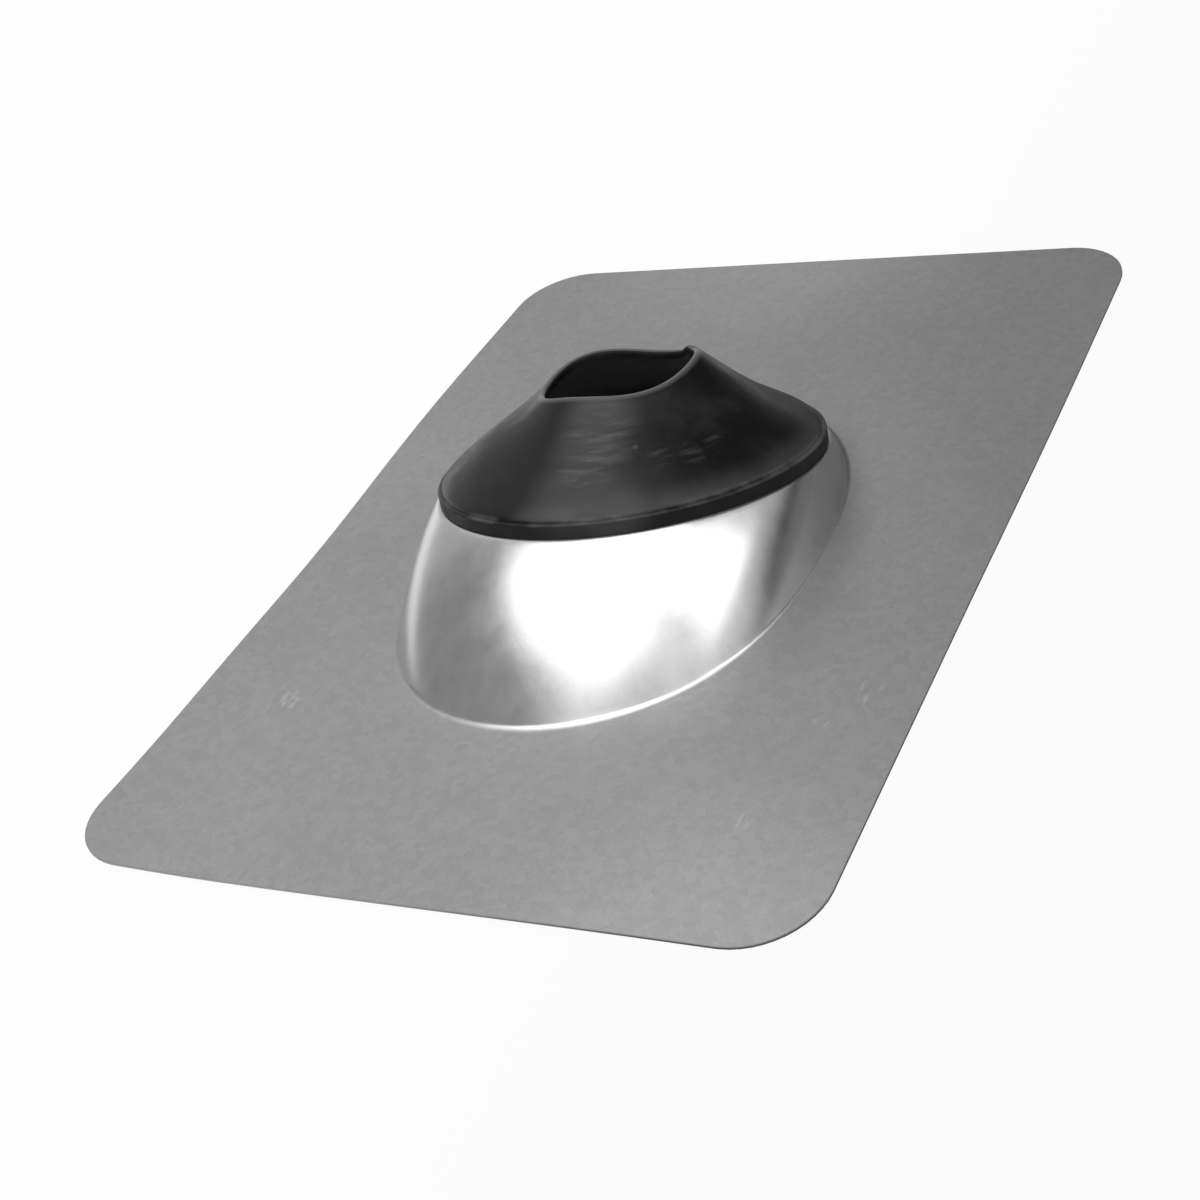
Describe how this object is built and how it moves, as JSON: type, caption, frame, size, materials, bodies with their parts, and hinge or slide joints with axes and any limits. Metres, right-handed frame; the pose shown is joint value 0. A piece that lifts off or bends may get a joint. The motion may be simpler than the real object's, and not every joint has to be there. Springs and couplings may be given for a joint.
{
  "type": "pipe flashing boot",
  "caption": "Roof flashing boot: a flat rounded galvanised sheet with a drawn oval dome, topped by a tilted conical rubber collar that seals round a vent pipe.",
  "frame": {"origin": "centre of the sheet's underside, on the roof surface", "axes": "+Z out of the roof surface, +Y up the slope along the sheet's long edge, +X along its short edge"},
  "size_m": [0.2286, 0.3174, 0.0529],
  "materials": {
    "galvanised_sheet": "matte galvanised sheet, polished bright where it is drawn over the dome",
    "collar_rubber": "satin black moulded rubber"
  },
  "bodies": {
    "root": {"base_flashing": "galvanised_sheet", "rubber_collar": "collar_rubber"}
  },
  "joints": []
}
